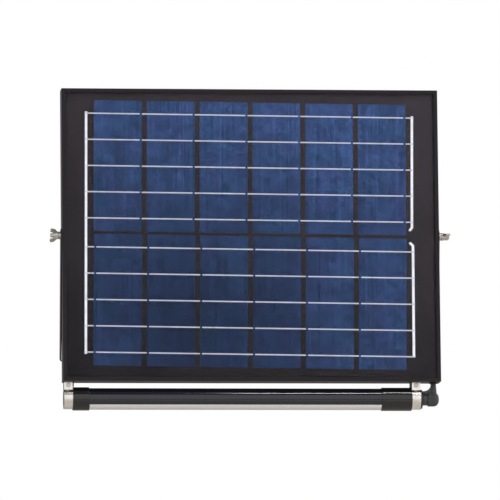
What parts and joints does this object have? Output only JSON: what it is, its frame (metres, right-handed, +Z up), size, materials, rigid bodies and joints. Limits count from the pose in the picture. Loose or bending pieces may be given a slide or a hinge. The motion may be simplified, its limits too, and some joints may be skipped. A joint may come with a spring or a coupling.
{
  "type": "solar tube light",
  "caption": "Framed solar panel on a tilting U-bracket, with a round LED tube clamped under its bottom rail and a battery and control box behind it.",
  "frame": {"origin": "middle of the U-bracket's mounting face, midway between its two bolt holes", "axes": "+X to the right along the panel's width, +Y to the back, +Z up along the bracket's arms; the panel faces -Y and leans back"},
  "size_m": [0.478, 0.0801, 0.3816],
  "materials": {
    "black_anodised": "black anodised extrusion, satin",
    "bracket_black": "black powder coat, semi-matt",
    "stainless": "brushed stainless strip",
    "bright_fastener": "plain stainless fastener",
    "seal_rubber": "black foam and rubber seal",
    "clear_glass": "clear tempered solar glass",
    "cell_blue": "polycrystalline silicon, anti-reflection coated",
    "tinned_ribbon": "tinned copper ribbon",
    "black_film": "black laminating film",
    "black_backsheet": "black polymer backsheet",
    "tube_black": "black anodised tube, satin",
    "tube_clear": "clear polycarbonate",
    "cap_black": "moulded black plastic",
    "plug_black": "moulded black plastic, fluted",
    "lead_black": "black cable jacket",
    "block_black": "moulded black nylon",
    "board_white": "white solder mask on aluminium board",
    "led_amber": "phosphor-filled LED package",
    "box_black": "fine-textured moulded plastic",
    "cell_wrap": "shrink-wrapped battery cell",
    "board_green": "green solder mask",
    "part_dark": "moulded electronic parts",
    "terminal_green": "moulded terminal block",
    "button_grey": "soft-touch button",
    "lens_clear": "clear light pipe",
    "tape_grey": "foam bonding tape",
    "contact_metal": "plated contact",
    "wire_red": "insulated wire"
  },
  "bodies": {
    "bracket": {"u_bracket": "bracket_black", "pivot_washers": "bright_fastener", "spring_washers": "bright_fastener"},
    "panel": {"pivot_bolts": "bright_fastener", "top_rail": "black_anodised", "bottom_rail": "black_anodised", "left_rail": "black_anodised", "right_rail": "black_anodised", "corner_keys": "black_anodised", "frame_rivets": "black_anodised", "edge_seal": "seal_rubber", "cover_glass": "clear_glass", "solar_cells": "cell_blue", "tab_ribbons": "tinned_ribbon", "bus_ribbons": "tinned_ribbon", "rear_film": "black_film", "backsheet": "black_backsheet", "left_clamp_band": "stainless", "right_clamp_band": "stainless", "hanger_blocks": "block_black", "hanger_nuts": "bright_fastener", "clamp_screws": "bright_fastener", "clamp_nuts": "bright_fastener", "elbow_plug": "plug_black", "plug_contact": "contact_metal", "plug_seal": "seal_rubber", "light_lead": "lead_black", "frame_grommet": "seal_rubber", "lead_clips": "block_black", "box_tape": "tape_grey", "box_base": "box_black", "box_gasket": "seal_rubber", "box_lid": "box_black", "lid_screws": "bright_fastener", "battery_cells": "cell_wrap", "battery_holder": "part_dark", "battery_contacts": "contact_metal", "controller_board": "board_green", "board_screws": "bright_fastener", "board_components": "part_dark", "terminal_block": "terminal_green", "status_lens": "lens_clear", "lead_gland": "plug_black", "gland_cap": "plug_black", "gland_nut": "plug_black"},
    "tube": {"tube_housing": "tube_black", "tube_cover": "tube_clear", "led_board": "board_white", "led_chips": "led_amber", "end_stops": "cap_black", "left_end_cap": "cap_black", "right_end_cap": "cap_black", "cap_seals": "seal_rubber", "inlet_socket": "plug_black", "socket_pin": "contact_metal", "socket_nut": "bright_fastener", "tube_wires": "wire_red"},
    "wing_nut_left": {"wing_nut_left": "bright_fastener"},
    "wing_nut_right": {"wing_nut_right": "bright_fastener"},
    "button": {"power_button": "button_grey"}
  },
  "joints": [
    {"name": "panel_tilt", "type": "hinge", "parent": "bracket", "child": "panel", "pos_m": [0, 0, 0.15], "axis": [-1, 0, 0], "range_deg": [0, 150]},
    {"name": "tube_turn", "type": "hinge", "parent": "panel", "child": "tube", "pos_m": [0, -0.02652, -0.04303], "axis": [1, 0, 0], "range_deg": [-45, 45]},
    {"name": "wing_nut_left_turn", "type": "hinge", "parent": "panel", "child": "wing_nut_left", "pos_m": [-0.235, 0, 0.15], "axis": [-1, 0, 0], "continuous": true},
    {"name": "wing_nut_right_turn", "type": "hinge", "parent": "panel", "child": "wing_nut_right", "pos_m": [0.235, 0, 0.15], "axis": [1, 0, 0], "continuous": true},
    {"name": "button_press", "type": "slide", "parent": "panel", "child": "button", "axis": [0, -0.9877, 0.1564], "range_m": [0, 0.0015], "stiffness_N_per_m": 800, "springref_m": -0.0005}
  ]
}
